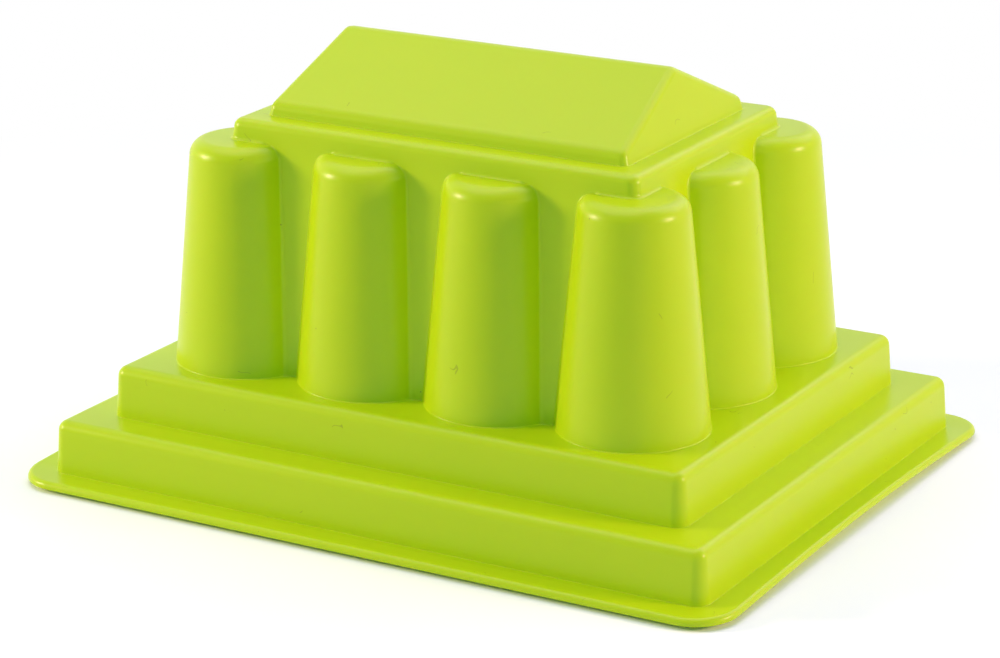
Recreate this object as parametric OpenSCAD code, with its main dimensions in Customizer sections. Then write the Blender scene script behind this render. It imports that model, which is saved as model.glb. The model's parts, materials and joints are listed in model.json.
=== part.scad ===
// Sand mould: a stepped base, a hall ringed by ten columns and a gabled roof.
// It is one thin-walled moulding, hollow and open underneath. Each region of it is a node here.
// X runs along the long side, Y along the short side and Z up. Z = 0 is the flat underside of the rim.

/* [Columns] */
// Radius of a column at its foot
column_foot_r = 20.6; // [18:0.1:25]
// How far the feet of neighbouring columns run into each other along the front and back
foot_merge_x = 0.7; // [0:0.1:3]
// How far the feet of neighbouring columns run into each other along the two ends
foot_merge_y = 2; // [0:0.1:4]
// Draft angle of a column
column_draft = 5.5; // [3:0.1:7]
// Height of a column above the upper tread
column_rise = 63.3; // [50:0.1:75]
// Rounding of a column's cap
column_cap_r = 4.5; // [2.1:0.1:6]

/* [Walls] */
// Thickness of the moulded walls
wall = 2; // [1.4:0.1:2.6]

/* [Hall] */
// How far the end walls stand outside the column centres, at the hall's top
hall_out_x = 1.9; // [0.5:0.1:5]
// How far the front and back walls stand outside the column centres, at the hall's top
hall_out_y = 3; // [0.5:0.1:6]
// Height of the hall's band above the caps
band_h = 5.8; // [4:0.1:12]
// Draft angle of the hall's walls
hall_draft = 5.5; // [1:0.1:8]
// Rounding of the hall's upright corners
hall_corner_r = 3; // [2.2:0.1:5]
// Rounding of the hall's top edge
hall_edge_r = 2.2; // [0.5:0.1:3]

/* [Roof] */
// Width of the flat ledge at each end of the roof
ledge_x = 6.8; // [4:0.1:12]
// Width of the flat ledge in front of and behind the roof
ledge_y = 7.4; // [4:0.1:14]
// Height of the upright band under the eaves
eaves_h = 4.2; // [3:0.1:8]
// Height of the ridge above the eaves
gable_rise = 14.6; // [8:0.1:24]
// How far each gable leans in at the ridge
gable_lean = 3.6; // [1:0.1:6]
// Draft of the upright band on each side
eaves_draft = 0.5; // [0.2:0.1:1]
// Rounding of the roof's edges
roof_edge_r = 2; // [0.4:0.1:3]

/* [Steps] */
// Width of the upper tread outside the end columns
upper_margin_x = 7.1; // [4:0.1:12]
// Width of the upper tread outside the front and back columns
upper_margin_y = 5.6; // [4:0.1:12]
// Height of the upper riser above the lower tread
upper_rise = 14.3; // [10:0.1:20]
// Width of the lower tread
tread = 11.2; // [7:0.1:16]
// Height of the lower riser above the rim
lower_rise = 14.7; // [10:0.1:20]
// Draft angle of both risers
step_draft = 4.1; // [1:0.1:8]
// Rounding of the steps' top edges and upright corners
step_edge_r = 2.9; // [1:0.1:5]

/* [Rim] */
// Width of the rim that shows in front of the lower riser
rim_ledge = 8.3; // [5:0.1:12]
// Thickness of the rim flange
rim_t = 2.1; // [1.5:0.1:3]
// Radius of the rim's corners seen from above
rim_corner_r = 12.2; // [6:0.1:16]

/* [Hidden] */
// Sides of a full circle on columns and corners
round_n = 64;
// Sides of a full circle inside a hull
hull_n = 32;
// Points along a rounded edge
arc_n = 5;
// Overrun that keeps a cut clear of the face it starts from
over = wall / 2;
// Smallest inner rounding, as a share of the wall
inner_share = 0.2;

// Levels of the treads, the caps, the hall's top, the eaves and the ridge
z_rim = rim_t;
z_lower = z_rim + lower_rise;
z_upper = z_lower + upper_rise;
z_cap = z_upper + column_rise;
z_hall = z_cap + band_h;
z_eaves = z_hall + eaves_h;
z_ridge = z_eaves + gable_rise;

// Spacing of the columns along the front and back, and along the two ends
column_pitch_x = 2 * column_foot_r - foot_merge_x;
column_pitch_y = 2 * column_foot_r - foot_merge_y;

// Column centres in steps of the spacing, from the middle of the hall
front_steps = [-1.5, -0.5, 0.5, 1.5];
panel_steps = [-1, 0, 1];

// Outlines as full sizes before rounding: the hall at its top, then outwards over the steps to the rim
columns_l = (front_steps[3] - front_steps[0]) * column_pitch_x;
columns_w = 2 * column_pitch_y;
hall_l = columns_l + 2 * hall_out_x;
hall_w = columns_w + 2 * hall_out_y;
upper_l = columns_l + 2 * (column_foot_r + upper_margin_x);
upper_w = columns_w + 2 * (column_foot_r + upper_margin_y);
lower_l = upper_l + 2 * (upper_rise * tan(step_draft) + tread);
lower_w = upper_w + 2 * (upper_rise * tan(step_draft) + tread);
rim_l = lower_l + 2 * (lower_rise * tan(step_draft) + rim_ledge);
rim_w = lower_w + 2 * (lower_rise * tan(step_draft) + rim_ledge);

// Outline of the roof at the foot of its upright band
roof_l = hall_l - 2 * ledge_x;
roof_w = hall_w - 2 * ledge_y;

// Longest reach of a cutting box
reach = rim_l;

// Slope of the roof
roof_slope = atan(gable_rise / (roof_w / 2 - eaves_draft - roof_edge_r));

// How far the inner eaves and the inner ridge lie below the outer ones, for an even wall between
edge_step = roof_edge_r - inner_r(roof_edge_r);
inner_drop = edge_step - (edge_step - wall) * (1 / cos(roof_slope) - tan(roof_slope));
ridge_drop = edge_step - (edge_step - wall) / cos(roof_slope);

lime = [0.67, 0.79, 0.06];
lime_light = [0.76, 0.85, 0.2];
lime_deep = [0.58, 0.72, 0.08];
lime_pale = [0.82, 0.88, 0.35];

// Half profile of a drafted post: radius top_r at height h before its top edge is rounded by edge_r
function post_profile(top_r, draft, h, edge_r) = concat(
    [[0, 0], [top_r + h * tan(draft), 0]],
    [for (i = [0:arc_n])
        let (a = draft + (90 - draft) * i / arc_n)
        [top_r + edge_r * (tan(draft) - 1 / cos(draft) + cos(a)), h - edge_r + edge_r * sin(a)]],
    [[0, h]]
);

// Drafted block with rounded corners and a rounded top edge, l by w at its top, from z_bottom to z_top
module drafted_block(l, w, z_bottom, z_top, draft, corner_r, edge_r) {
    translate([0, 0, z_bottom])
        hull()
            for (sx = [-1, 1], sy = [-1, 1])
                translate([sx * (l / 2 - corner_r), sy * (w / 2 - corner_r), 0])
                    rotate_extrude($fn = hull_n)
                        polygon(post_profile(corner_r, draft, z_top - z_bottom, edge_r));
}

// Box with its low corner at from and its high corner at to
module box_between(from, to) {
    translate(from)
        cube(to - from);
}

// Slice of everything between two levels
module level_slice(z_bottom, z_top) {
    box_between([-reach, -reach, z_bottom], [reach, reach, z_top]);
}

// Rounding left on the inside of a corner of radius r
function inner_r(r) = max(r - wall, wall * inner_share);

// Space inside the lower step, from the floor to the underside of its tread
module lower_space() {
    drafted_block(lower_l - 2 * wall, lower_w - 2 * wall, -over, z_lower - wall,
        step_draft, inner_r(step_edge_r), inner_r(step_edge_r));
}

// Space inside the upper step, carried down through the lower tread
module upper_space() {
    drafted_block(upper_l - 2 * wall, upper_w - 2 * wall, z_lower - 2 * wall, z_upper - wall,
        step_draft, inner_r(step_edge_r), inner_r(step_edge_r));
}

// Outside of the hall, carried down to the level z_bottom
module hall_outside(z_bottom) {
    drafted_block(hall_l, hall_w, z_bottom, z_hall, hall_draft, hall_corner_r, hall_edge_r);
}

// Space inside the hall, carried down through the upper tread
module hall_space() {
    drafted_block(hall_l - 2 * wall, hall_w - 2 * wall, z_upper - 2 * wall, z_hall - wall,
        hall_draft, inner_r(hall_corner_r), inner_r(hall_edge_r));
}

// Outside of one column at its centre (x, y)
module column_outside(x, y) {
    translate([x, y, z_upper])
        rotate_extrude($fn = round_n)
            polygon(post_profile(column_foot_r - column_rise * tan(column_draft),
                column_draft, column_rise, column_cap_r));
}

// Hall without its rounded corners, as flat drafted faces only: l by w at level z_top
module plain_hall(l, w, z_top) {
    spread = (z_top - z_upper + over) * tan(hall_draft);
    intersection() {
        rotate([90, 0, 0])
            translate([0, 0, -reach])
                linear_extrude(height = 2 * reach)
                    plain_side(l, spread, z_top);
        rotate([90, 0, 90])
            translate([0, 0, -reach])
                linear_extrude(height = 2 * reach)
                    plain_side(w, spread, z_top);
    }
}

// Upright outline of the plain hall, size wide at its top and spread wider on each side at its foot
module plain_side(size, spread, z_top) {
    polygon([
        [-size / 2 - spread, z_upper - over], [size / 2 + spread, z_upper - over],
        [size / 2, z_top], [-size / 2, z_top]
    ]);
}

// Space inside one column, carried down through the upper tread
module column_space(x, y) {
    space_h = column_rise - wall + 2 * wall;
    top_r = column_foot_r - wall - (column_rise - wall) * tan(column_draft);
    translate([x, y, z_upper - 2 * wall])
        rotate_extrude($fn = round_n)
            polygon(post_profile(top_r, column_draft, space_h, inner_r(column_cap_r)));
}

// The same space without its rounding, carried up past the cap to clear a wall panel
module column_way(x, y) {
    low_r = column_foot_r - wall + 2 * wall * tan(column_draft);
    high_r = column_foot_r - wall - column_rise * tan(column_draft);
    translate([x, y, z_upper - 2 * wall])
        cylinder(r1 = low_r, r2 = high_r, h = column_rise + 2 * wall, $fn = round_n);
}

// Spaces inside all ten columns
module all_column_spaces() {
    for (i = front_steps, side = [-1, 1])
        column_space(i * column_pitch_x, side * column_pitch_y);
    for (side = [-1, 1])
        column_space(side * front_steps[3] * column_pitch_x, 0);
}

// Column shell outside the hall, kept within its own cell between x_min, x_max, y_min and y_max
module column_shell(x, y, x_min, x_max, y_min, y_max, at_corner) {
    intersection() {
        difference() {
            column_outside(x, y);
            column_space(x, y);
            if (at_corner)
                hall_outside(z_upper - over);
            else
                plain_hall(hall_l, hall_w, z_hall);
        }
        box_between([x_min, y_min, z_upper - over], [x_max, y_max, z_cap + over]);
    }
}

// Column of the front row (side = -1) or the back row (side = 1)
module row_column(i, side) {
    x = i * column_pitch_x;
    first = i == front_steps[0];
    last = i == front_steps[3];
    x_min = first ? -reach : x - column_pitch_x / 2;
    x_max = last ? reach : x + column_pitch_x / 2;
    y_edge = side * column_pitch_y / 2;
    column_shell(x, side * column_pitch_y, x_min, x_max,
        side < 0 ? -reach : y_edge, side < 0 ? y_edge : reach, first || last);
}

// Column in the middle of the left end (side = -1) or the right end (side = 1)
module end_column(side) {
    column_shell(side * front_steps[3] * column_pitch_x, 0, -reach, reach,
        -column_pitch_y / 2, column_pitch_y / 2, false);
}

// Hall wall between two neighbouring columns, inside the given box
module hall_panel(from, to, a, b) {
    difference() {
        intersection() {
            plain_hall(hall_l, hall_w, z_hall);
            box_between(from, to);
        }
        plain_hall(hall_l - 2 * wall, hall_w - 2 * wall, z_hall);
        column_way(a[0], a[1]);
        column_way(b[0], b[1]);
    }
}

// Panel of the front (side = -1) or back (side = 1) wall, i spacings from the middle
module row_panel(i, side) {
    x = i * column_pitch_x;
    half = column_pitch_x / 2;
    y = side * column_pitch_y;
    y_low = side < 0 ? -reach : hall_w / 2 - 2 * wall;
    y_high = side < 0 ? 2 * wall - hall_w / 2 : reach;
    hall_panel([x - half, y_low, z_upper], [x + half, y_high, z_cap - wall], [x - half, y], [x + half, y]);
}

// Panel of the left (side = -1) or right (side = 1) wall, in front of or behind its middle column
module end_panel(side, half_side) {
    x = side * front_steps[3] * column_pitch_x;
    x_low = side < 0 ? -reach : hall_l / 2 - 2 * wall;
    x_high = side < 0 ? 2 * wall - hall_l / 2 : reach;
    y_far = half_side * column_pitch_y;
    hall_panel([x_low, min(0, y_far), z_upper], [x_high, max(0, y_far), z_cap - wall], [x, 0], [x, y_far]);
}

// Gabled solid on a plinth of l by w: eaves and ridge at z_side and z_top
module gabled_solid(l, w, z_bottom, z_side, z_top, lean, edge_r) {
    hull() {
        for (sx = [-1, 1], sy = [-1, 1])
            translate([sx * (l / 2 - edge_r - eaves_draft), sy * (w / 2 - edge_r - eaves_draft), z_bottom])
                rotate_extrude($fn = hull_n)
                    polygon(post_profile(edge_r, atan(eaves_draft / (z_side - z_bottom)),
                        z_side - z_bottom, edge_r));
        for (sx = [-1, 1])
            translate([sx * (l / 2 - eaves_draft - lean - edge_r), 0, z_top - edge_r])
                sphere(r = edge_r, $fn = hull_n);
    }
}

// Space under the roof, carried down through the hall's ceiling
module roof_space() {
    gabled_solid(roof_l - 2 * wall, roof_w - 2 * wall, z_hall - 2 * wall, z_eaves - inner_drop,
        z_ridge - ridge_drop, gable_lean, inner_r(roof_edge_r));
}

// Flat flange that the mould rests on
module rim() {
    color(lime_deep)
        difference() {
            union() {
                box_between([-rim_l / 2 + rim_corner_r, -rim_w / 2, 0], [rim_l / 2 - rim_corner_r, rim_w / 2, rim_t]);
                box_between([-rim_l / 2, -rim_w / 2 + rim_corner_r, 0], [rim_l / 2, rim_w / 2 - rim_corner_r, rim_t]);
                for (sx = [-1, 1], sy = [-1, 1])
                    translate([sx * (rim_l / 2 - rim_corner_r), sy * (rim_w / 2 - rim_corner_r), 0])
                        cylinder(r = rim_corner_r, h = rim_t, $fn = round_n);
            }
            lower_space();
        }
}

// Lower riser and tread
module lower_step() {
    color(lime)
        difference() {
            intersection() {
                drafted_block(lower_l, lower_w, 0, z_lower, step_draft, step_edge_r, step_edge_r);
                level_slice(z_rim, z_lower + over);
            }
            lower_space();
            upper_space();
        }
}

// Upper riser and tread
module upper_step() {
    color(lime_light)
        difference() {
            intersection() {
                drafted_block(upper_l, upper_w, z_lower - over, z_upper, step_draft, step_edge_r, step_edge_r);
                level_slice(z_lower, z_upper + over);
            }
            upper_space();
            hall_space();
            all_column_spaces();
        }
}

// Columns of the front row, from left to right
module column_front_1() { color(lime) row_column(front_steps[0], -1); }
module column_front_2() { color(lime) row_column(front_steps[1], -1); }
module column_front_3() { color(lime) row_column(front_steps[2], -1); }
module column_front_4() { color(lime) row_column(front_steps[3], -1); }

// Columns of the back row, from left to right
module column_back_1() { color(lime) row_column(front_steps[0], 1); }
module column_back_2() { color(lime) row_column(front_steps[1], 1); }
module column_back_3() { color(lime) row_column(front_steps[2], 1); }
module column_back_4() { color(lime) row_column(front_steps[3], 1); }

// Columns in the middle of the two ends
module column_left() { color(lime) end_column(-1); }
module column_right() { color(lime) end_column(1); }

// Hall walls between the columns
module panel_front_1() { color(lime_deep) row_panel(panel_steps[0], -1); }
module panel_front_2() { color(lime_deep) row_panel(panel_steps[1], -1); }
module panel_front_3() { color(lime_deep) row_panel(panel_steps[2], -1); }
module panel_back_1() { color(lime_deep) row_panel(panel_steps[0], 1); }
module panel_back_2() { color(lime_deep) row_panel(panel_steps[1], 1); }
module panel_back_3() { color(lime_deep) row_panel(panel_steps[2], 1); }
module panel_left_1() { color(lime_deep) end_panel(-1, -1); }
module panel_left_2() { color(lime_deep) end_panel(-1, 1); }
module panel_right_1() { color(lime_deep) end_panel(1, -1); }
module panel_right_2() { color(lime_deep) end_panel(1, 1); }

// Band of the hall wall above the caps, with the ceiling ledge around the roof
module cornice() {
    color(lime_light)
        difference() {
            intersection() {
                hall_outside(z_upper - over);
                level_slice(z_cap - wall, z_hall + over);
            }
            hall_space();
            roof_space();
        }
}

// Gabled roof on its upright band
module roof() {
    color(lime_pale)
        difference() {
            gabled_solid(roof_l, roof_w, z_hall, z_eaves, z_ridge, gable_lean, roof_edge_r);
            roof_space();
        }
}

rim();
lower_step();
upper_step();
column_front_1();
column_front_2();
column_front_3();
column_front_4();
column_back_1();
column_back_2();
column_back_3();
column_back_4();
column_left();
column_right();
panel_front_1();
panel_front_2();
panel_front_3();
panel_back_1();
panel_back_2();
panel_back_3();
panel_left_1();
panel_left_2();
panel_right_1();
panel_right_2();
cornice();
roof();
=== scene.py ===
"""Sand mould: a stepped base, ten round columns round a hall, and a gabled roof, moulded in one piece.

X runs along the long side, Y along the short side and Z up. The mould rests on Z = 0 and is open underneath.
"""

import json
import math

import bmesh
import bpy
from mathutils import Matrix, Vector

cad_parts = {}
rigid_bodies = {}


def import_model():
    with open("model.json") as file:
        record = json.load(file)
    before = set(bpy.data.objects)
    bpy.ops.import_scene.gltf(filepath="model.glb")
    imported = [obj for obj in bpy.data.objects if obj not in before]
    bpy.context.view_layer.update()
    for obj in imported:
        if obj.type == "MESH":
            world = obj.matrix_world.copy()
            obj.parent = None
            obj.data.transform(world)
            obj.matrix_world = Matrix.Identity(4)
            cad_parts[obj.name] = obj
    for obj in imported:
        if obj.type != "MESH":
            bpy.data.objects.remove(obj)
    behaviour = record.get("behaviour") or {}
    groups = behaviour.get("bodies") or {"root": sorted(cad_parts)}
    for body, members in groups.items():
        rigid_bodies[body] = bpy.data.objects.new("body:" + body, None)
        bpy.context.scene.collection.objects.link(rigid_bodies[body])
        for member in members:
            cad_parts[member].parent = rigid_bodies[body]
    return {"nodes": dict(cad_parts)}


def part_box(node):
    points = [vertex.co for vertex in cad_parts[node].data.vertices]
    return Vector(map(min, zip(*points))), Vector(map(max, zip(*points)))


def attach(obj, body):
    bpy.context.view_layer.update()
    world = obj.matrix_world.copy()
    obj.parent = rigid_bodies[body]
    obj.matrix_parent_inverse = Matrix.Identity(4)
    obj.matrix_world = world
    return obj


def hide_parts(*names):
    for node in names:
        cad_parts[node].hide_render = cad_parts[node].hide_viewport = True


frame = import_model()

bl_info = {
    "name": "Sand mould",
    "version": (1, 0, 0),
    "blender": (4, 5, 0),
    "location": "View3D > Sidebar > Sand mould",
    "description": "Builds the dressed sand mould, its plastic and its studio",
    "category": "Mesh",
}

# One millimetre, in the scene's metres
MM = 0.001

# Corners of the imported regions, which give the levels and outlines below
RIM_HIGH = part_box("rim")[1]
LOWER_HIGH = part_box("lower_step")[1]
UPPER_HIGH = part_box("upper_step")[1]
CAP_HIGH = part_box("column_front_1")[1]
CORNICE_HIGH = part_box("cornice")[1]
ROOF_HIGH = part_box("roof")[1]

# How many straight runs draw each curve
EDGE_RUNS = 7  # an edge of the base or of a cap
TOP_RUNS = 6  # the hall's top edge and the roof's edges
CORNER_RUNS = 8  # an upright corner of the base
SIDE_RUNS = 10  # a straight side of the base
WALL_RUNS = 4  # the wall between two columns, up to the blend
BLEND_RUNS = 8  # the hollow blend between wall and column
CREASE_RUNS = 5  # the crease at a column's foot, and the one over its cap
SHAFT_RUNS = 22  # a shaft, from foot to cap
ROW_ROUND = 26  # round a column of a row
CORNER_ROUND = 44  # round a column at a corner

PLASTIC = "polypropylene_injection_moulded_satin"

# Where each softbox stands and how wide it is, in metres. All of them face the middle of the mould.
SOFTBOXES = {
    "left": ((-0.82, -0.475, 0.36), 0.2),
    "right": ((0.94, 0.17, 0.36), 0.18),
    "top": ((-0.2, -0.05, 1.03), 0.9),
    "back": ((0.27, 0.58, 0.82), 0.8),
    "front": ((0.62, -0.78, 0.25), 0.5),
    "under": ((0.0, 0.0, -0.4), 0.3),
}
MIDDLE = Vector((0, 0, 50 * MM))


def length(name, description, default):
    """A length in metres, shown in the scene's units."""
    return bpy.props.FloatProperty(name=name, description=description, default=default, precision=5,
                                   unit="LENGTH", subtype="DISTANCE")


def angle(name, description, degrees):
    """An angle, shown in degrees."""
    return bpy.props.FloatProperty(name=name, description=description, default=math.radians(degrees),
                                   unit="ROTATION", subtype="ANGLE")


def linear(code):
    """Linear RGBA of an sRGB hex colour such as 'C4DE10'."""
    parts = [int(code[i:i + 2], 16) / 255 for i in (0, 2, 4)]
    return [p / 12.92 if p <= 0.04045 else ((p + 0.055) / 1.055) ** 2.4 for p in parts] + [1.0]


def colour(name, description, code):
    """A colour given as an sRGB hex code, kept as linear RGB."""
    return bpy.props.FloatVectorProperty(name=name, description=description, default=linear(code)[:3],
                                         subtype="COLOR", size=3, min=0.0, max=1.0)


def watts(name, description, default):
    """A lamp's power in watts."""
    return bpy.props.FloatProperty(name=name, description=description, default=default, unit="POWER", min=0.0)


class MouldSizes(bpy.types.PropertyGroup):
    """Sizes of the moulding."""

    wall: length("Wall", "Thickness of the moulded walls", 2.0 * MM)
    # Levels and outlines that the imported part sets
    rim_x: length("Rim half length", "From the middle to the rim's end", RIM_HIGH.x)
    rim_y: length("Rim half width", "From the middle to the rim's front", RIM_HIGH.y)
    rim_top: length("Rim top", "Height of the rim's upper face", RIM_HIGH.z)
    lower_top: length("Lower tread", "Height of the lower tread", LOWER_HIGH.z)
    upper_top: length("Upper tread", "Height of the upper tread", UPPER_HIGH.z)
    cap_top: length("Caps", "Height of the columns' caps", CAP_HIGH.z)
    hall_top: length("Hall top", "Height of the ledge round the roof", CORNICE_HIGH.z)
    ridge_top: length("Ridge", "Height of the ridge, before it is rounded", ROOF_HIGH.z + 0.2 * MM)
    roof_x: length("Roof half length", "From the middle to the roof's end, at its foot", ROOF_HIGH.x)
    roof_y: length("Roof half width", "From the middle to the eaves, at the roof's foot", ROOF_HIGH.y)
    # Rim and steps
    rim_edge: length("Rim edge", "Rounding of the rim's upper edge", 1.6 * MM)
    rim_ledge: length("Rim ledge", "Width of the rim in front of the lower riser", 8.3 * MM)
    tread: length("Tread", "Width of the lower tread", 11.2 * MM)
    step_draft: angle("Step draft", "Lean of both risers", 4.1)
    step_edge: length("Step edge", "Rounding of the steps' top edges and corners", 2.9 * MM)
    crease: length("Crease", "Hollow rounding at the foot of a riser", 0.15 * MM)
    rim_corner: length("Rim corner", "Rounding of the rim's upright corners", 12.2 * MM)
    rim_lift: length("Rim lift", "How far the middle of the rim's short sides has warped upwards", 2.4 * MM)
    # Columns
    foot_r: length("Column foot", "Radius of a column at its foot", 20.6 * MM)
    column_draft: angle("Column draft", "Taper of a column", 5.5)
    merge_x: length("Front merge", "How far the feet run into each other along the front", 0.7 * MM)
    merge_y: length("End merge", "How far the feet run into each other along the ends", 2.0 * MM)
    cap_edge: length("Cap edge", "Rounding of a cap", 4.5 * MM)
    blend_low: length("Blend at foot", "Hollow rounding between column and wall, at the foot", 2.0 * MM)
    blend_high: length("Blend at cap", "Hollow rounding between column and wall, at the cap", 0.9 * MM)
    foot_crease: length("Foot crease", "Hollow rounding where a column meets the tread", 0.3 * MM)
    # Hall
    hall_out_x: length("End wall", "How far the end walls stand outside the column centres, at the top", 1.9 * MM)
    hall_out_y: length("Front wall", "How far the front wall stands outside the column centres, at the top", 3.0 * MM)
    hall_draft: angle("Hall draft", "Lean of the hall's walls", 5.5)
    hall_corner: length("Hall corner", "Rounding of the hall's upright corners", 3.0 * MM)
    hall_edge: length("Hall edge", "Rounding of the hall's top edge", 2.2 * MM)
    # Roof
    eaves: length("Eaves", "Height of the upright band, before the eaves are rounded", 3.5 * MM)
    eaves_lean: length("Eaves lean", "How far the upright band leans in", 0.5 * MM)
    gable_lean: length("Gable lean", "How far a gable leans in between foot and ridge", 4.1 * MM)
    roof_edge: length("Roof edge", "Rounding of the roof's edges", 2.0 * MM)


class PlasticLook(bpy.types.PropertyGroup):
    """Colours of the plastic."""

    body: colour("Plastic", "Lime pigment of the moulding", "C4DE10")
    deep: colour("Deep plastic", "Slightly greener pigment in the flow marks", "BEDC0E")
    dust: colour("Dust", "Specks of dust and hairs on the surface", "5B6B1E")


class StudioLook(bpy.types.PropertyGroup):
    """Floor, light and camera of the studio."""

    # Floor
    floor: colour("Floor", "Pale studio floor, as it lights the mould", "F4F5F2")
    floor_seen: bpy.props.FloatVectorProperty(
        name="Floor in the picture", description="The same floor, overexposed",
        default=(1.1, 1.14, 1.14), subtype="COLOR", size=3, min=0.0, max=2.0)
    floor_gap: length("Floor gap", "How far the floor lies below the rim, which has warped off it", 1.1 * MM)
    floor_far: length("Floor half size", "From the middle to the floor's edge", 3.0)
    open_x: length("Opening half length", "From the middle to the end of the opening under the mould", 96 * MM)
    open_y: length("Opening half width", "From the middle to the front of the opening under the mould", 79 * MM)
    fade_near: length("Fade start", "How far from the middle the floor starts to fade to white", 220 * MM)
    fade_far: length("Fade end", "How far from the middle the floor turns plain white", 400 * MM)
    # Lamps and room
    left_power: watts("Left light", "Power of the softbox to the left of the camera", 6.9)
    right_power: watts("Right light", "Power of the softbox to the right of the mould", 6.2)
    top_power: watts("Top light", "Power of the softbox overhead", 4.95)
    back_power: watts("Back light", "Power of the softbox behind the mould", 3.7)
    front_power: watts("Front light", "Power of the weak softbox beside the camera", 0.4)
    under_power: watts("Light below", "Power of the softbox under the floor's opening, which lights the hollow", 0.8)
    left_colour: colour("Left light colour", "Warm light from the left", "FFDCC4")
    right_colour: colour("Right light colour", "Warm light from the right", "FFD1BC")
    top_colour: colour("Top light colour", "Pinkish light from overhead", "FFE0F4")
    back_colour: colour("Back light colour", "Violet light from behind, which whitens the roof", "E8CCFF")
    front_colour: colour("Front light colour", "Warm light from beside the camera", "FFE6D2")
    under_colour: colour("Light below colour", "Slightly warm light from under the floor", "FFF4E8")
    room: colour("Room colour", "Cool light that the room sends back", "44FFEE")
    world: bpy.props.FloatProperty(name="Room", description="Strength of the room's even light", default=0.245,
                                   subtype="FACTOR")
    # Camera
    camera: bpy.props.FloatVectorProperty(
        name="Camera", description="Where the camera stands", size=3, unit="LENGTH", subtype="XYZ",
        default=(458.15 * MM, -788.52 * MM, 337.64 * MM))
    azimuth: angle("Azimuth", "Which way round the camera looks", 29.938)
    elevation: angle("Elevation", "How far the camera looks down", 18.245)
    roll: angle("Roll", "How far the camera is turned about its own axis", -0.342)
    lens: bpy.props.FloatProperty(name="Lens", description="Focal length in millimetres", default=123.19,
                                  unit="CAMERA")
    shift_x: bpy.props.FloatProperty(name="Shift across", description="Sideways shift, in widths of the picture",
                                     default=-0.0205, precision=4, subtype="FACTOR")
    shift_y: bpy.props.FloatProperty(name="Shift up", description="Upward shift, in widths of the picture",
                                     default=0.0008, precision=4, subtype="FACTOR")


def rounded_path(corners, steps):
    """Points along straight runs between corners (a, b, radius), each corner rounded in steps."""
    points = []
    for i, (a, b, radius) in enumerate(corners):
        here = Vector((a, b))
        if i in (0, len(corners) - 1) or radius <= 0:
            points.append(here)
            continue
        before = (Vector(corners[i - 1][:2]) - here).normalized()
        after = (Vector(corners[i + 1][:2]) - here).normalized()
        half = before.angle(after) / 2
        centre = here + (before + after).normalized() * radius / math.sin(half)
        first = here + before * radius / math.tan(half) - centre
        last = here + after * radius / math.tan(half) - centre
        turn = first.angle_signed(last)
        for k in range(steps + 1):
            points.append(centre + Matrix.Rotation(-turn * k / steps, 2) @ first)
    return points


def rounded_rectangle(half_x, half_y, radius, corner_steps, side_steps):
    """Anticlockwise points of a rectangle with rounded corners, with side_steps runs along each side."""
    corners = []
    for start, sx, sy in ((-90, 1, -1), (0, 1, 1), (90, -1, 1), (180, -1, -1)):
        centre = Vector((sx * (half_x - radius), sy * (half_y - radius)))
        corners.append([centre + radius * Vector((math.cos(a), math.sin(a)))
                        for a in (math.radians(start + 90 * k / corner_steps) for k in range(corner_steps + 1))])
    points = []
    for corner, following in zip(corners, corners[1:] + corners[:1]):
        points += corner
        points += [corner[-1].lerp(following[0], k / side_steps) for k in range(1, side_steps)]
    return points


def loft(bm, rings, closed, flip=False):
    """Quads between successive rings that all have the same number of points."""
    made = [[bm.verts.new(p) for p in ring] for ring in rings]
    count = len(rings[0])
    for low, high in zip(made, made[1:]):
        for i in range(count if closed else count - 1):
            j = (i + 1) % count
            quad = (low[i], low[j], high[j], high[i])
            bm.faces.new(quad[::-1] if flip else quad)


def finished_mesh(name, bm):
    """Mesh made of a bmesh, which is freed."""
    mesh = bpy.data.meshes.new(name)
    bm.to_mesh(mesh)
    bm.free()
    return mesh


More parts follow.
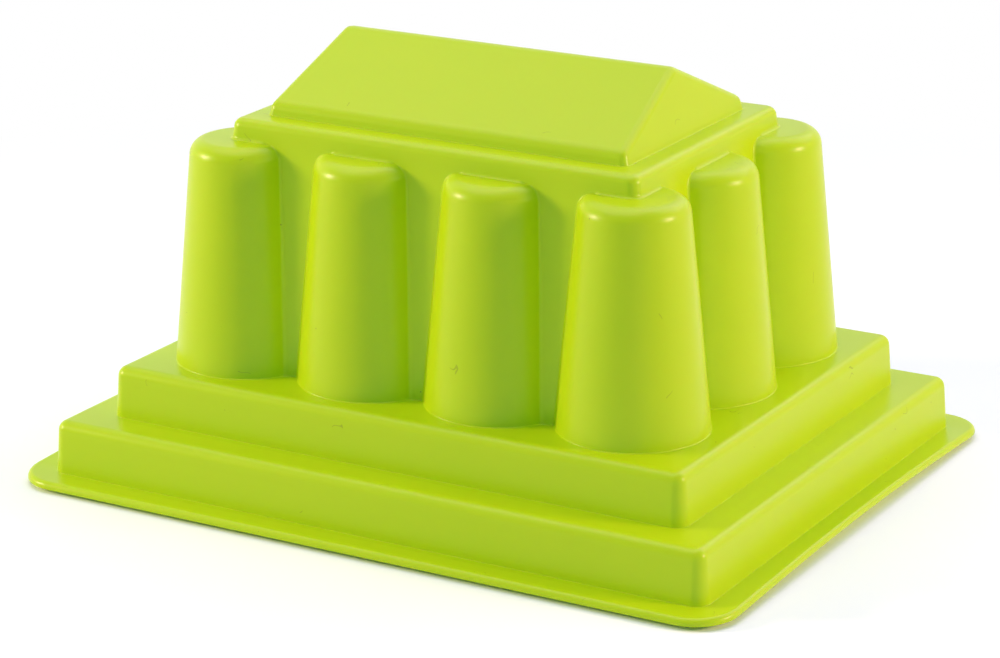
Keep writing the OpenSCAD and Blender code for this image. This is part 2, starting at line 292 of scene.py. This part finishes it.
def base_rings(s):
    """Rings of the base, from the underside of the upper tread, down and out under the rim, and up again."""
    lean = math.tan(s.step_draft)
    lower_foot = s.rim_ledge
    lower_edge = lower_foot + (s.lower_top - s.rim_top) * lean
    upper_foot = lower_edge + s.tread
    upper_edge = upper_foot + (s.upper_top - s.lower_top) * lean
    # Roundings inside the hollow, under a tread's edge and where a riser ends, and at the rim's lower edge
    inner = max(s.step_edge - s.wall, 0.4 * MM)
    mouth = 1.2 * MM
    rim_under = 0.3 * MM
    sharpest_corner = 0.2 * MM
    # Strip of the upper tread that the base brings, beside its rounded edge
    flat = s.step_edge + 1.0 * MM
    corners = [
        (upper_edge + s.wall + flat, s.upper_top - s.wall, 0),
        (upper_edge + s.wall, s.upper_top - s.wall, inner),
        (upper_edge + s.wall - (s.upper_top - s.lower_top) * lean, s.lower_top - s.wall, mouth),
        (lower_edge + s.wall, s.lower_top - s.wall, inner),
        (lower_edge + s.wall - (s.lower_top - s.wall) * lean, 0, mouth),
        (0, 0, rim_under),
        (0, s.rim_top, s.rim_edge),
        (lower_foot, s.rim_top, s.crease),
        (lower_edge, s.lower_top, s.step_edge),
        (upper_foot, s.lower_top, s.crease),
        (upper_edge, s.upper_top, s.step_edge),
        (upper_edge + flat, s.upper_top, 0),
    ]
    rings = []
    for inset, z in rounded_path(corners, EDGE_RUNS):
        on_lower = inset < lower_edge + s.tread / 2
        radius = max(s.step_edge + (lower_edge if on_lower else upper_edge) - inset, sharpest_corner)
        out = max(1 - inset / lower_foot, 0)
        if out > 0:
            radius += out * (s.rim_corner - s.step_edge - lower_edge)
        # The rim's short sides have warped upwards, most in the middle and at the outer edge
        end_x, half_y = s.rim_x - inset - radius, s.rim_y - inset
        ring = []
        for p in rounded_rectangle(s.rim_x - inset, half_y, radius, CORNER_RUNS, SIDE_RUNS):
            lift = 0
            if abs(p.x) > end_x:
                lift = s.rim_lift * out * math.cos(math.pi / 2 * min(abs(p.y) / half_y, 1))
            ring.append(Vector((p.x, p.y, z + lift)))
        rings.append(ring)
    return rings


def half_lobe(radius, blend, wall, middle):
    """Outline from the mid line between two columns to the column's side.

    It runs in (along, out) from the mid line, at distance middle from the column's centre, over the wall, which
    stands out by wall, and round the hollow blend. Also gives the angle at which the column's own circle starts.
    """
    reach = radius + blend
    along = math.sqrt(max(reach ** 2 - (wall + blend) ** 2, 0))
    if along <= middle:
        centre = Vector((along, wall + blend))
    else:
        centre = Vector((middle, math.sqrt(reach ** 2 - middle ** 2)))
    out = centre.y - blend
    points = [Vector((middle + (centre.x - middle) * k / WALL_RUNS, out)) for k in range(WALL_RUNS)]
    start, end = -math.pi / 2, math.atan2(-centre.y, -centre.x)
    for k in range(BLEND_RUNS + 1):
        a = start + (end - start) * k / BLEND_RUNS
        points.append(centre + blend * Vector((math.cos(a), math.sin(a))))
    return points, math.atan2(centre.y, centre.x)


class Bay:
    """One column's bay of the colonnade: its half of the wall to either side, its shaft, its cap and the band above.

    The column's centre is the origin. A row bay faces -Y, and a corner bay faces -Y and +X.
    """

    def __init__(self, sizes, corner, middle, wall_out):
        """Keep the sizes, and for the left and right side the mid line's distance and how far the wall stands out."""
        self.s = sizes
        self.corner = corner
        self.middle = middle
        self.wall_out = wall_out

    def radius(self, z):
        """Outer radius of the shaft at height z."""
        return self.s.foot_r - (z - self.s.upper_top) * math.tan(self.s.column_draft)

    def blend(self, z):
        """Hollow rounding between shaft and wall at height z."""
        share = (z - self.s.upper_top) / (self.s.cap_top - self.s.upper_top)
        return self.s.blend_low + (self.s.blend_high - self.s.blend_low) * min(max(share, 0), 1)

    def wall(self, z, side):
        """How far the wall stands out from the column's centre at height z, on its left (0) or right (1)."""
        return self.wall_out[side] + (self.s.hall_top - z) * math.tan(self.s.hall_draft)

    def lobed(self, z, radius, off):
        """Ring round the column and along the wall, off outside the true surface."""
        blend = self.blend(z) - off
        left, left_angle = half_lobe(radius, blend, self.wall(z, 0) + off, self.middle[0])
        right, right_angle = half_lobe(radius, blend, self.wall(z, 1) + off, self.middle[1])
        start = -math.pi + left_angle
        points = [Vector((-p.x, -p.y, z)) for p in left]
        if self.corner:
            points_right = [Vector((p.y, p.x, z)) for p in right]
            end = math.pi / 2 - right_angle
            steps = CORNER_ROUND
        else:
            points_right = [Vector((p.x, -p.y, z)) for p in right]
            end = -right_angle
            steps = ROW_ROUND
        for k in range(1, steps):
            a = start + (end - start) * k / steps
            points.append(Vector((radius * math.cos(a), radius * math.sin(a), z)))
        return points + points_right[::-1]

    def on_wall(self, cap_ring, off):
        """For each point of the cap's ring, where it goes on the wall behind and how far the crease reaches there."""
        widest = 1.0 * MM
        z = cap_ring[0].z
        places = []
        corner_x = self.wall(z, 1) - self.s.hall_corner
        corner_y = -self.wall(z, 0) + self.s.hall_corner
        for p in cap_ring:
            if not self.corner or (p.x <= corner_x and p.y < corner_y):
                places.append(["row", p.x, -p.y - self.wall(z, 0) - off])
            elif p.y >= corner_y and p.x > corner_x:
                places.append(["end", p.y, p.x - self.wall(z, 1) - off])
            else:
                places.append(["corner", 0, 1.0])
        turning = [i for i, place in enumerate(places) if place[0] == "corner"]
        for n, i in enumerate(turning, 1):
            places[i][1] = n / (len(turning) + 1)
        return [(kind, value, min(widest, max(out, 0) / 2)) for kind, value, out in places]

    def walled(self, places, cap_z, z, off, crease_turn=None):
        """Ring along the wall above the caps, off outside the true surface, or at crease_turn round the crease."""
        points = []
        left, right = self.middle
        ref_x = self.wall(cap_z, 1) - self.s.hall_corner
        ref_y = -self.wall(cap_z, 0) + self.s.hall_corner
        for kind, value, reach in places:
            height, out = z, off
            if crease_turn is not None:
                height = cap_z + reach * (1 - math.cos(crease_turn))
                out = off + reach * (1 - math.sin(crease_turn))
            front = self.wall(height, 0) + out
            side = self.wall(height, 1) + out
            corner_x = self.wall(height, 1) - self.s.hall_corner
            corner_y = -self.wall(height, 0) + self.s.hall_corner
            if kind == "row":
                x = value
                if self.corner:
                    x = -left + (value + left) * (corner_x + left) / (ref_x + left)
                points.append(Vector((x, -front, height)))
            elif kind == "end":
                y = right - (right - value) * (right - corner_y) / (right - ref_y)
                points.append(Vector((side, y, height)))
            else:
                a = -math.pi / 2 * (1 - value)
                r = self.s.hall_corner + out
                points.append(Vector((corner_x + r * math.cos(a), corner_y + r * math.sin(a), height)))
        return points

    def rings(self, inside):
        """Rings of the bay's outer skin, or of the skin inside the wall, from the tread up to the ledge."""
        s = self.s
        drop = s.wall if inside else 0
        foot_z, cap_z, top_z = s.upper_top - drop, s.cap_top - drop, s.hall_top - drop
        cap_edge = max(s.cap_edge - drop, 0.6 * MM)
        top_edge = max(s.hall_edge - drop, 0.4 * MM)
        crease = 1.0 * MM if inside else s.foot_crease
        # Strips of the tread and of the ledge that the bay brings, and where the wall starts above the cap's crease
        skirt = crease * 1.5
        ledge = 0.8 * MM
        wall_start = cap_z + 1.2 * MM
        rings = [self.lobed(foot_z, self.radius(foot_z) - drop + skirt, skirt - drop)]
        turns = [math.pi / 2 * k / CREASE_RUNS for k in range(CREASE_RUNS + 1)]
        for turn in turns:
            z = foot_z + crease * (1 - math.cos(turn))
            off = crease * (1 - math.sin(turn)) - drop
            rings.append(self.lobed(z, self.radius(z) + off, off))
        start = foot_z + crease
        cap = rounded_path([(self.radius(start) - drop, start, 0), (self.radius(cap_z) - drop, cap_z, cap_edge),
                            (0, cap_z, 0)], EDGE_RUNS)[1:-1]
        for k in range(1, SHAFT_RUNS):
            z = start + (cap[0].y - start) * k / SHAFT_RUNS
            rings.append(self.lobed(z, self.radius(z) - drop, -drop))
        for radius, z in cap:
            rings.append(self.lobed(z, radius, -drop))
        places = self.on_wall(rings[-1], -drop)
        for turn in turns:
            rings.append(self.walled(places, cap_z, cap_z, -drop, turn))
        for inset, z in rounded_path([(0, wall_start, 0), (0, top_z, top_edge), (top_edge + ledge, top_z, 0)],
                                     TOP_RUNS):
            rings.append(self.walled(places, cap_z, z, -drop - inset))
        return rings


def bay_mesh(name, bay, place, turn=0.0, mirrored=False):
    """Mesh of a bay, outer and inner skins, turned, mirrored and moved to its place."""
    bm = bmesh.new()
    spot = Matrix.Translation(place) @ Matrix.Rotation(turn, 4, "Z")
    for inside in (False, True):
        rings = bay.rings(inside)
        if mirrored:
            rings = [[Vector((-p.x, p.y, p.z)) for p in ring][::-1] for ring in rings]
        loft(bm, [[spot @ p for p in ring] for ring in rings], closed=False, flip=inside)
    return finished_mesh(name, bm)


def roof_skin(s, inside):
    """Gabled skin with a strip of the ledge round its foot, every edge rounded."""
    drop = s.wall if inside else 0
    slope = math.atan((s.ridge_top - s.hall_top - s.eaves) / (s.roof_y - s.eaves_lean))
    foot_z = s.hall_top - drop
    eaves_z = s.hall_top + s.eaves - drop * (1 / math.cos(slope) - math.tan(slope))
    ridge_z = s.ridge_top - drop / math.cos(slope)
    foot = Vector((s.roof_x - drop, s.roof_y - drop))
    ridge_x = foot.x - s.gable_lean
    eaves_x = foot.x - s.gable_lean * (eaves_z - foot_z) / (ridge_z - foot_z)
    eaves_y = foot.y - s.eaves_lean
    # Strip of the ledge that the roof brings, rounding of its foot, and how far from level still counts as level
    strip = 2.0 * MM
    foot_rounding = 0.25 * MM
    level = 1e-7
    bm = bmesh.new()

    def corner_points(x, y, z):
        return [bm.verts.new((sx * x, sy * y, z)) for sx, sy in ((-1, -1), (1, -1), (1, 1), (-1, 1))]

    border = corner_points(foot.x + strip, foot.y + strip, foot_z)
    low = corner_points(foot.x, foot.y, foot_z)
    high = corner_points(eaves_x, eaves_y, eaves_z)
    left, right = (bm.verts.new((sx * ridge_x, 0, ridge_z)) for sx in (-1, 1))
    for i in range(4):
        j = (i + 1) % 4
        bm.faces.new((border[i], border[j], low[j], low[i]))
    bm.faces.new((low[0], low[1], high[1], high[0]))
    bm.faces.new((low[2], low[3], high[3], high[2]))
    bm.faces.new((low[1], low[2], high[2], right, high[1]))
    bm.faces.new((low[3], low[0], high[0], left, high[3]))
    bm.faces.new((high[0], high[1], right, left))
    bm.faces.new((high[2], high[3], left, right))
    # The strip and the foot's outline stay sharp at first, and the bevel inside the wall is a little smaller
    flat = set(border) | set(low)
    bmesh.ops.bevel(bm, geom=[e for e in bm.edges if not set(e.verts) <= flat], offset=s.roof_edge - drop * 0.2,
                    segments=TOP_RUNS, profile=0.5, affect="EDGES", clamp_overlap=True)
    outline = [e for e in bm.edges if not e.is_boundary and all(abs(v.co.z - foot_z) < level for v in e.verts)
               and any(abs(f.normal.z) < 0.9 for f in e.link_faces)]
    bmesh.ops.bevel(bm, geom=outline, offset=foot_rounding, segments=2, profile=0.5, affect="EDGES",
                    clamp_overlap=True)
    if inside:
        bmesh.ops.reverse_faces(bm, faces=bm.faces)
    return finished_mesh("roof_skin", bm)


def add_node(tree, kind, inputs=None, **settings):
    """Adds a node, sets its options and its inputs, and links any input that is given as a socket."""
    node = tree.nodes.new(kind)
    for name, value in settings.items():
        setattr(node, name, value)
    for name, value in (inputs or {}).items():
        socket = node.inputs[name]
        if isinstance(value, bpy.types.NodeSocket):
            tree.links.new(value, socket)
        else:
            socket.default_value = value
    return node


def maths(tree, operation, *values):
    """Result of a Math node that works on the given sockets or numbers."""
    return add_node(tree, "ShaderNodeMath", dict(enumerate(values)), operation=operation).outputs[0]


def repeat_tree():
    """Geometry Nodes that stand a bay along a row and turn the row half round for the other side."""
    tree = bpy.data.node_groups.new("colonnade_row", "GeometryNodeTree")
    tree.interface.new_socket("Bay", in_out="INPUT", socket_type="NodeSocketGeometry")
    count = tree.interface.new_socket("Bays in the row", in_out="INPUT", socket_type="NodeSocketInt")
    count.default_value, count.min_value = 1, 1
    spacing = tree.interface.new_socket("Bay spacing", in_out="INPUT", socket_type="NodeSocketFloat")
    spacing.subtype, spacing.default_value = "DISTANCE", 40.5 * MM
    tree.interface.new_socket("Plastic", in_out="INPUT", socket_type="NodeSocketMaterial")
    tree.interface.new_socket("Colonnade", in_out="OUTPUT", socket_type="NodeSocketGeometry")
    given = add_node(tree, "NodeGroupInput").outputs
    # The row starts half its length to the left of the middle
    gaps = maths(tree, "SUBTRACT", given["Bays in the row"], 1.0)
    half = maths(tree, "MULTIPLY", maths(tree, "MULTIPLY", gaps, given["Bay spacing"]), -0.5)
    first = add_node(tree, "ShaderNodeCombineXYZ", {"X": half}).outputs[0]
    step = add_node(tree, "ShaderNodeCombineXYZ", {"X": given["Bay spacing"]}).outputs[0]
    line = add_node(tree, "GeometryNodeMeshLine", {"Count": given["Bays in the row"], "Start Location": first,
                                                   "Offset": step}).outputs[0]
    row = add_node(tree, "GeometryNodeInstanceOnPoints", {"Points": line, "Instance": given["Bay"]}).outputs[0]
    turned = add_node(tree, "GeometryNodeTransform", {"Geometry": row, "Rotation": (0, 0, math.pi)}).outputs[0]
    both = add_node(tree, "GeometryNodeJoinGeometry", {"Geometry": row})
    tree.links.new(turned, both.inputs["Geometry"])
    real = add_node(tree, "GeometryNodeRealizeInstances", {"Geometry": both.outputs[0]}).outputs[0]
    dressed = add_node(tree, "GeometryNodeSetMaterial", {"Geometry": real, "Material": given["Plastic"]}).outputs[0]
    add_node(tree, "NodeGroupOutput", {"Colonnade": dressed})
    return tree


def plain_mesh(obj):
    """The object's evaluated mesh on its own, with the modifiers' work in it."""
    graph = bpy.context.evaluated_depsgraph_get()
    return bpy.data.meshes.new_from_object(obj.evaluated_get(graph), preserve_all_data_layers=True, depsgraph=graph)


def show(name, mesh):
    """Puts a mesh in the scene as an object at the origin."""
    obj = bpy.data.objects.new(name, mesh)
    bpy.context.scene.collection.objects.link(obj)
    return obj


def empty_tree(owner):
    """Node tree of a material or world, switched on and emptied."""
    owner.use_nodes = True
    owner.node_tree.nodes.clear()
    return owner.node_tree


def moulded_plastic():
    """Polypropylene, the common toy plastic PP, injection moulded in a finely blasted steel mould, lime pigment.

    The blasted steel leaves a satin skin: broad soft highlights with a little sparkle at tight edges. The resin is
    slightly translucent, so light spreads a millimetre or two and thin edges glow. The part shrinks as it cools,
    which leaves its flat faces very slightly wavy.
    """
    look = bpy.context.scene.plastic_look
    material = bpy.data.materials.new(PLASTIC)
    tree = empty_tree(material)
    place = add_node(tree, "ShaderNodeTexCoord").outputs["Object"]
    # Pigment flow: faint clouds about 30 mm across
    clouds = add_node(tree, "ShaderNodeTexNoise", {"Vector": place, "Scale": 33.0, "Detail": 2.0, "Roughness": 0.5})
    pigment = add_node(tree, "ShaderNodeMix", {0: clouds.outputs[0], 6: (*look.body, 1.0), 7: (*look.deep, 1.0)},
                       data_type="RGBA")
    # Dust: specks up to 0.4 mm across, in a third of the 9 mm cells at most, and 0.6 as strong as the dust's colour
    cells = add_node(tree, "ShaderNodeTexVoronoi", {"Vector": place, "Scale": 110.0}).outputs
    speck = maths(tree, "LESS_THAN", cells["Distance"], 0.022)
    chance = add_node(tree, "ShaderNodeSeparateColor", {0: cells["Color"]}).outputs[0]
    dusty = maths(tree, "MULTIPLY", speck, maths(tree, "LESS_THAN", chance, 0.35))
    faint = maths(tree, "MULTIPLY", dusty, 0.6)
    # Hairs: curved, about a tenth of a millimetre thick, up to 4 mm long, and 0.35 as strong as the dust's colour
    curves = add_node(tree, "ShaderNodeTexNoise", {"Vector": place, "Scale": 260.0, "Detail": 0.0}).outputs[0]
    thin = maths(tree, "COMPARE", maths(tree, "SUBTRACT", curves, 0.5), 0.0, 0.012)
    patches = add_node(tree, "ShaderNodeTexVoronoi", {"Vector": place, "Scale": 60.0}).outputs["Distance"]
    hair = maths(tree, "MULTIPLY", thin, maths(tree, "LESS_THAN", patches, 0.11))
    marks = maths(tree, "MAXIMUM", faint, maths(tree, "MULTIPLY", hair, 0.35))
    skin = add_node(tree, "ShaderNodeMix", {0: marks, 6: pigment.outputs[2], 7: (*look.dust, 1.0)}, data_type="RGBA")
    # Blasted steel: grain of about 0.3 mm, drawn a little coarser than the real 0.1 mm so that it shows
    grain = add_node(tree, "ShaderNodeTexNoise", {"Vector": place, "Scale": 3000.0, "Detail": 2.0, "Roughness": 0.6})
    # Shrinkage: waves about 25 mm long and a few hundredths of a millimetre deep
    waves = add_node(tree, "ShaderNodeTexNoise", {"Vector": place, "Scale": 40.0, "Detail": 1.0, "Roughness": 0.4})
    shrunk = add_node(tree, "ShaderNodeBump", {"Height": waves.outputs[0], "Strength": 1.0, "Distance": 0.06 * MM})
    blasted = add_node(tree, "ShaderNodeBump", {"Height": grain.outputs[0], "Strength": 1.0, "Distance": 0.003 * MM,
                                                "Normal": shrunk.outputs[0]})
    # Handling: the roughness comes and goes between 0.28 and 0.36
    rub = add_node(tree, "ShaderNodeTexNoise", {"Vector": place, "Scale": 90.0, "Detail": 4.0, "Roughness": 0.65})
    gloss = add_node(tree, "ShaderNodeMapRange", {"Value": rub.outputs[0], "To Min": 0.28, "To Max": 0.36})
    plastic = add_node(tree, "ShaderNodeBsdfPrincipled", {
        "Base Color": skin.outputs[2], "Roughness": gloss.outputs[0], "IOR": 1.5, "Specular IOR Level": 0.31,
        "Subsurface Weight": 0.15, "Subsurface Radius": (0.35, 1.0, 0.15), "Subsurface Scale": 2.0 * MM,
        "Normal": blasted.outputs[0],
    })
    add_node(tree, "ShaderNodeOutputMaterial", {"Surface": plastic.outputs[0]})
    return material


def sees_background(tree):
    """1 for the camera's, mirrored and refracted rays, which see a white background, and 0 for all others."""
    rays = add_node(tree, "ShaderNodeLightPath").outputs
    seen = maths(tree, "MAXIMUM", rays["Is Camera Ray"], rays["Is Glossy Ray"])
    return maths(tree, "MAXIMUM", seen, rays["Is Transmission Ray"])


def studio_floor():
    """Seamless background paper, rolled out flat. Its smooth uncoated fibres give a plain matt white.

    Near the mould it takes the soft shadow, and farther out it fades to plain white. It lights the mould as pale
    paper does. From below it is clear, so that it doesn't hide the mould.
    """
    look = bpy.context.scene.studio_look
    material = bpy.data.materials.new("paper_floor_matt")
    tree = empty_tree(material)
    seen = sees_background(tree)
    paper = add_node(tree, "ShaderNodeBsdfDiffuse", {"Color": (*look.floor, 1.0)}).outputs[0]
    bright = add_node(tree, "ShaderNodeBsdfDiffuse", {"Color": (*look.floor_seen, 1.0)}).outputs[0]
    place = add_node(tree, "ShaderNodeTexCoord").outputs["Object"]
    away = add_node(tree, "ShaderNodeVectorMath", {0: place}, operation="LENGTH").outputs["Value"]
    fade = add_node(tree, "ShaderNodeMapRange", {"Value": away, "From Min": look.fade_near,
                                                 "From Max": look.fade_far}).outputs[0]
    white = add_node(tree, "ShaderNodeEmission", {"Color": (1.0, 1.0, 1.0, 1.0), "Strength": 1.0}).outputs[0]
    bright = add_node(tree, "ShaderNodeMixShader", {0: fade, 1: bright, 2: white}).outputs[0]
    above = add_node(tree, "ShaderNodeMixShader", {0: seen, 1: paper, 2: bright}).outputs[0]
    back = add_node(tree, "ShaderNodeNewGeometry").outputs["Backfacing"]
    clear = add_node(tree, "ShaderNodeBsdfTransparent").outputs[0]
    either = add_node(tree, "ShaderNodeMixShader", {0: back, 1: above, 2: clear}).outputs[0]
    add_node(tree, "ShaderNodeOutputMaterial", {"Surface": either})
    return material


def white_room():
    """World that shows white behind the mould and lights it evenly."""
    look = bpy.context.scene.studio_look
    world = bpy.data.worlds.new("white_room")
    tree = empty_tree(world)
    seen = sees_background(tree)
    even = add_node(tree, "ShaderNodeBackground", {"Color": (*look.room, 1), "Strength": look.world}).outputs[0]
    white = add_node(tree, "ShaderNodeBackground", {"Color": (1, 1, 1, 1), "Strength": 1.0}).outputs[0]
    room = add_node(tree, "ShaderNodeMixShader", {0: seen, 1: even, 2: white}).outputs[0]
    add_node(tree, "ShaderNodeOutputWorld", {"Surface": room})
    return world


def floor_mesh(look):
    """Floor with an opening under the mould, so that a view from below finds light in the hollow."""
    corners = [(x * a, y * b, -look.floor_gap)
               for a, b in ((look.floor_far, look.floor_far), (look.open_x, look.open_y))
               for x, y in ((-1, -1), (1, -1), (1, 1), (-1, 1))]
    mesh = bpy.data.meshes.new("studio_floor")
    mesh.from_pydata(corners, [], [(i, (i + 1) % 4, 4 + (i + 1) % 4, 4 + i) for i in range(4)])
    return mesh


def softbox(name, power, tint, place, size):
    """Square area light at place that faces the middle of the mould."""
    data = bpy.data.lights.new(name, "AREA")
    data.size, data.energy, data.color = size, power, tint
    obj = bpy.data.objects.new(name, data)
    obj.location = place
    obj.rotation_euler = (MIDDLE - Vector(place)).to_track_quat("-Z", "Y").to_euler()
    bpy.context.scene.collection.objects.link(obj)


def studio_camera(look):
    """Camera at its place, turned by azimuth and elevation and then rolled about its own axis."""
    data = bpy.data.cameras.new("studio_camera")
    data.lens, data.sensor_width = look.lens, 36.0
    data.shift_x, data.shift_y = look.shift_x, look.shift_y
    data.clip_start, data.clip_end = 0.05, 20.0
    camera = bpy.data.objects.new("studio_camera", data)
    back = Vector((math.sin(look.azimuth) * math.cos(look.elevation),
                   -math.cos(look.azimuth) * math.cos(look.elevation), math.sin(look.elevation)))
    right = Vector((math.cos(look.azimuth), math.sin(look.azimuth), 0))
    right = Matrix.Rotation(look.roll, 3, back) @ right
    camera.rotation_euler = Matrix((right, back.cross(right), back)).transposed().to_euler()
    camera.location = look.camera
    bpy.context.scene.collection.objects.link(camera)
    return camera


class MouldBase(bpy.types.Operator):
    """Make the rim and the two steps as one skin, inside and out"""

    bl_idname = "sand_mould.base"
    bl_label = "Rim and steps"

    def execute(self, context):
        bm = bmesh.new()
        loft(bm, base_rings(context.scene.mould_sizes), closed=True)
        show("part_base", finished_mesh("part_base", bm))
        return {"FINISHED"}


class MouldColonnade(bpy.types.Operator):
    """Make one bay of each kind and stand the bays round the hall"""

    bl_idname = "sand_mould.colonnade"
    bl_label = "Columns and hall"

    def execute(self, context):
        s = context.scene.mould_sizes
        pitch_x, pitch_y = 2 * s.foot_r - s.merge_x, 2 * s.foot_r - s.merge_y
        along, across = (pitch_x / 2, pitch_x / 2), (pitch_y / 2, pitch_y / 2)
        row = Bay(s, False, along, (s.hall_out_y, s.hall_out_y))
        end = Bay(s, False, across, (s.hall_out_x, s.hall_out_x))
        corner = Bay(s, True, (pitch_x / 2, pitch_y / 2), (s.hall_out_y, s.hall_out_x))
        # Four columns stand along each front, so the last is one and a half bays from the middle
        far = 1.5 * pitch_x
        bays = (
            ("part_row_bay", bay_mesh("row_bay", row, (0, -pitch_y, 0)), 2),
            ("part_end_bay", bay_mesh("end_bay", end, (far, 0, 0), turn=math.pi / 2), 1),
            ("part_right_bay", bay_mesh("right_bay", corner, (far, -pitch_y, 0)), 1),
            ("part_left_bay", bay_mesh("left_bay", corner, (-far, -pitch_y, 0), mirrored=True), 1),
        )
        tree = repeat_tree()
        sockets = {item.name: item.identifier for item in tree.interface.items_tree if item.in_out == "INPUT"}
        for name, mesh, count in bays:
            source = show(name, mesh)
            repeat = source.modifiers.new("Colonnade row", "NODES")
            repeat.node_group = tree
            repeat[sockets["Bays in the row"]] = count
            repeat[sockets["Bay spacing"]] = pitch_x
            repeat[sockets["Plastic"]] = bpy.data.materials[PLASTIC]
            finished = plain_mesh(source)
            source.modifiers.remove(repeat)
            source.data = finished
        return {"FINISHED"}


class MouldRoof(bpy.types.Operator):
    """Make the gabled roof's outer and inner skins"""

    bl_idname = "sand_mould.roof"
    bl_label = "Roof"

    def execute(self, context):
        for inside in (False, True):
            show("part_roof", roof_skin(context.scene.mould_sizes, inside))
        return {"FINISHED"}


class MouldWeld(bpy.types.Operator):
    """Weld the parts into one seamless moulding, fill its treads and ledges, and smooth its shading"""

    bl_idname = "sand_mould.weld"
    bl_label = "Weld the moulding"

    def execute(self, context):
        s = context.scene.mould_sizes
        # Points this close are one, edges this short go, and a seam this near a level belongs to it
        same, sliver, near = 0.002 * MM, 0.001 * MM, 0.005 * MM
        bm = bmesh.new()
        for part in [o for o in context.scene.objects if o.name.startswith("part_")]:
            bm.from_mesh(part.data)
            bpy.data.objects.remove(part)
        bmesh.ops.remove_doubles(bm, verts=bm.verts, dist=same)
        bmesh.ops.dissolve_degenerate(bm, edges=bm.edges, dist=sliver)
        for level, up in ((s.upper_top, 1), (s.upper_top - s.wall, -1), (s.hall_top, 1), (s.hall_top - s.wall, -1)):
            rim = [e for e in bm.edges if e.is_boundary and all(abs(v.co.z - level) < near for v in e.verts)]
            filled = bmesh.ops.triangle_fill(bm, edges=rim, use_beauty=True, normal=(0, 0, up))
            faces = [f for f in filled["geom"] if isinstance(f, bmesh.types.BMFace)]
            for face in faces:
                face.normal_update()
                if face.normal.z * up < 0:
                    face.normal_flip()
        open_edges = [e for e in bm.edges if not e.is_manifold]
        if open_edges:
            raise RuntimeError(f"{len(open_edges)} open edges in the moulding")
        for face in bm.faces:
            face.smooth = True
            face.material_index = 0
        mesh = finished_mesh("moulding", bm)
        mesh.materials.append(bpy.data.materials[PLASTIC])
        mould = show("moulding", mesh)
        # Broad faces lead the shading, so that they stay flat beside their rounded edges
        weighted = mould.modifiers.new("Face weighted normals", "WEIGHTED_NORMAL")
        weighted.weight = 60
        finished = plain_mesh(mould)
        mould.modifiers.remove(weighted)
        mould.data = finished
        finished.name = "moulding"
        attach(mould, "root")
        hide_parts(*frame["nodes"])
        return {"FINISHED"}


class MouldPlastic(bpy.types.Operator):
    """Make the moulded plastic"""

    bl_idname = "sand_mould.plastic"
    bl_label = "Plastic"

    def execute(self, context):
        moulded_plastic()
        return {"FINISHED"}


class MouldStudio(bpy.types.Operator):
    """Set the pale floor, the softboxes, the white room and the camera"""

    bl_idname = "sand_mould.studio"
    bl_label = "Studio"

    def execute(self, context):
        look = context.scene.studio_look
        floor = show("studio_floor", floor_mesh(look))
        floor.data.materials.append(studio_floor())
        context.scene.world = white_room()
        for name, (place, size) in SOFTBOXES.items():
            softbox(f"{name}_softbox", getattr(look, f"{name}_power"), getattr(look, f"{name}_colour"), place, size)
        context.scene.camera = studio_camera(look)
        context.scene.view_settings.view_transform = "Standard"
        return {"FINISHED"}


class MouldPanel(bpy.types.Panel):
    """Sizes, colours and steps of the sand mould"""

    bl_label = "Sand mould"
    bl_idname = "VIEW3D_PT_sand_mould"
    bl_space_type = "VIEW_3D"
    bl_region_type = "UI"
    bl_category = "Sand mould"

    def draw(self, context):
        for group in (context.scene.mould_sizes, context.scene.plastic_look, context.scene.studio_look):
            box = self.layout.box()
            for name in type(group).__annotations__:
                box.prop(group, name)
        for step in STEPS:
            self.layout.operator(step.bl_idname)


GROUPS = (MouldSizes, PlasticLook, StudioLook)
STEPS = (MouldPlastic, MouldBase, MouldColonnade, MouldRoof, MouldWeld, MouldStudio)


def register():
    """Add the property groups, the operators and the panel."""
    for cls in (*GROUPS, *STEPS, MouldPanel):
        bpy.utils.register_class(cls)
    bpy.types.Scene.mould_sizes = bpy.props.PointerProperty(type=MouldSizes)
    bpy.types.Scene.plastic_look = bpy.props.PointerProperty(type=PlasticLook)
    bpy.types.Scene.studio_look = bpy.props.PointerProperty(type=StudioLook)


def unregister():
    """Take away all that register added."""
    for name in ("mould_sizes", "plastic_look", "studio_look"):
        delattr(bpy.types.Scene, name)
    for cls in (MouldPanel, *reversed(STEPS), *reversed(GROUPS)):
        bpy.utils.unregister_class(cls)


def main():
    """Build the dressed mould and its studio."""
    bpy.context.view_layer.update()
    register()
    bpy.ops.sand_mould.plastic()
    bpy.ops.sand_mould.base()
    bpy.ops.sand_mould.colonnade()
    bpy.ops.sand_mould.roof()
    bpy.ops.sand_mould.weld()
    bpy.ops.sand_mould.studio()


if __name__ == "__main__":
    main()
